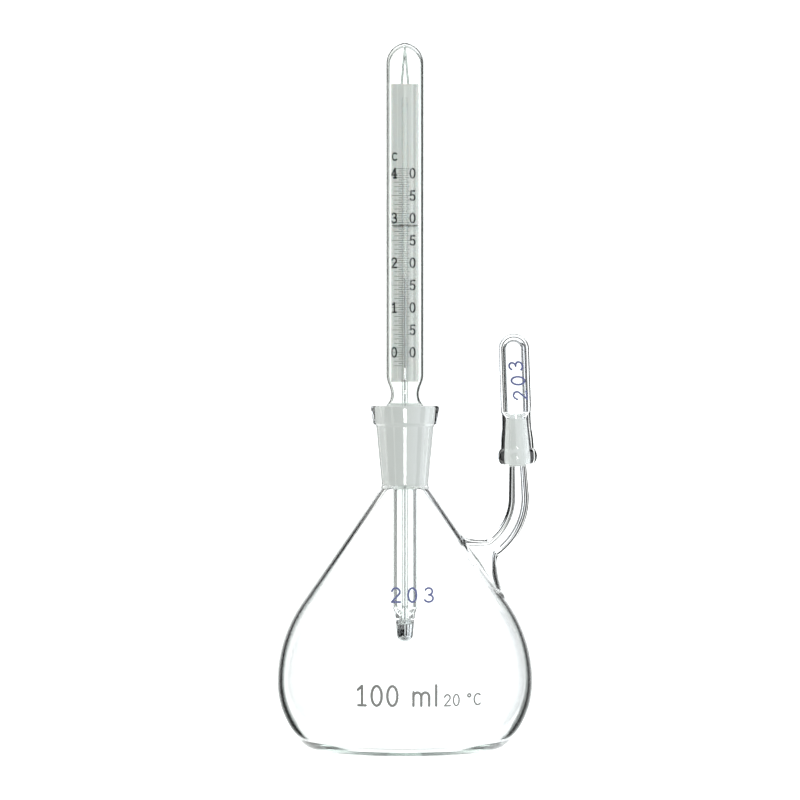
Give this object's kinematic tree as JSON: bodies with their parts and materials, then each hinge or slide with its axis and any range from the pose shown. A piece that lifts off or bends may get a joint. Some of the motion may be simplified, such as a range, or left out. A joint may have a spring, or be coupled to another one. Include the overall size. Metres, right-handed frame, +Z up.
{
  "type": "pycnometer",
  "caption": "Glass density bottle with a flat-based bulb, a thermometer stopper in its ground neck and a capped capillary side arm.",
  "frame": {"origin": "centre of the flask's flat base, on the bulb's axis", "axes": "+Z up along the neck and the thermometer, +X towards the side arm, the scale faces -Y"},
  "size_m": [0.0628, 0.0618, 0.17],
  "materials": {
    "borosilicate_glass": "fire-polished, the joints ground",
    "jacket_glass": "drawn tube, the cone ground",
    "thermometer_glass": "drawn capillary",
    "mercury": "liquid metal",
    "opal_glass": "opaque white, fired-in scale",
    "tie_wire": "fine wire",
    "cap_glass": "fire-polished, the socket ground"
  },
  "bodies": {
    "flask": {"flask": "borosilicate_glass"},
    "thermometer": {"thermometer_jacket": "jacket_glass", "capillary_tube": "thermometer_glass", "mercury": "mercury", "scale_plate": "opal_glass", "scale_hanger": "thermometer_glass", "scale_tie_wire": "tie_wire"},
    "cap": {"side_arm_cap": "cap_glass"}
  },
  "joints": [
    {"name": "thermometer_lift", "type": "slide", "parent": "flask", "child": "thermometer", "axis": [0, 0, 1], "range_m": [0, 0.06]},
    {"name": "cap_lift", "type": "slide", "parent": "flask", "child": "cap", "axis": [-0.0332, 0, 0.9995], "range_m": [0, 0.015]}
  ]
}
